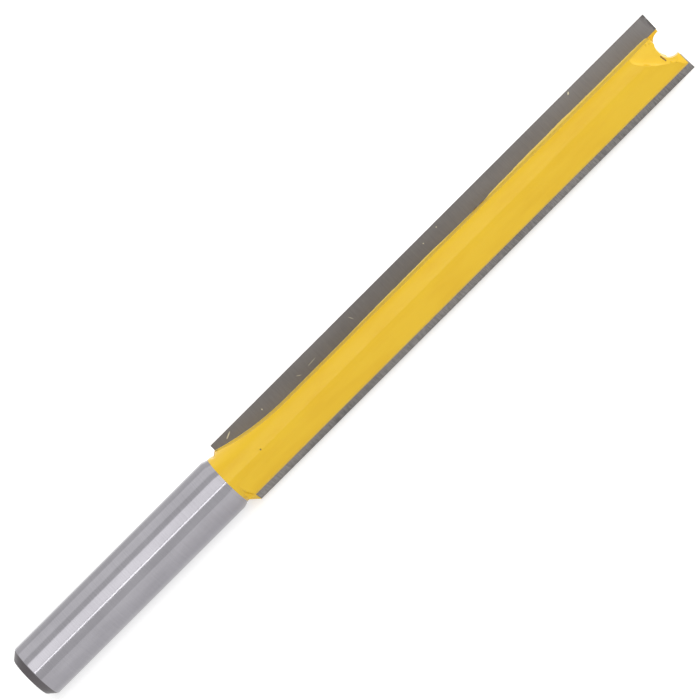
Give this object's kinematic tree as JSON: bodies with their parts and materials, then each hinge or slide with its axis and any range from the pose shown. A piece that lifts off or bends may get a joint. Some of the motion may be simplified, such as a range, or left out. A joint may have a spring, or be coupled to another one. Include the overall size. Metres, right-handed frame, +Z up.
{
  "type": "router bit",
  "caption": "Long straight router bit: ground round shank, slim yellow-coated body with straight flutes and full-length carbide blades, notched tip.",
  "frame": {"origin": "bottom centre of the bounding box, straight below the tool's axis at mid-length", "axes": "+X along the tool's axis from the shank to the cutting tip, +Z up from the surface it lies on"},
  "size_m": [0.183, 0.0132, 0.0127],
  "materials": {
    "ground_steel": "fine ground, satin bright, with crosswise grinding marks",
    "yellow_paint": "thick glossy enamel with raised lips at its edges",
    "carbide": "dark satin carbide with crosswise grinding marks",
    "braze": "dull filler metal in a thin seam"
  },
  "bodies": {
    "root": {"cutter_body": "ground_steel", "yellow_coat": "yellow_paint", "carbide_blade_a": "carbide", "carbide_blade_b": "carbide", "braze_seam_a": "braze", "braze_seam_b": "braze"}
  },
  "joints": []
}
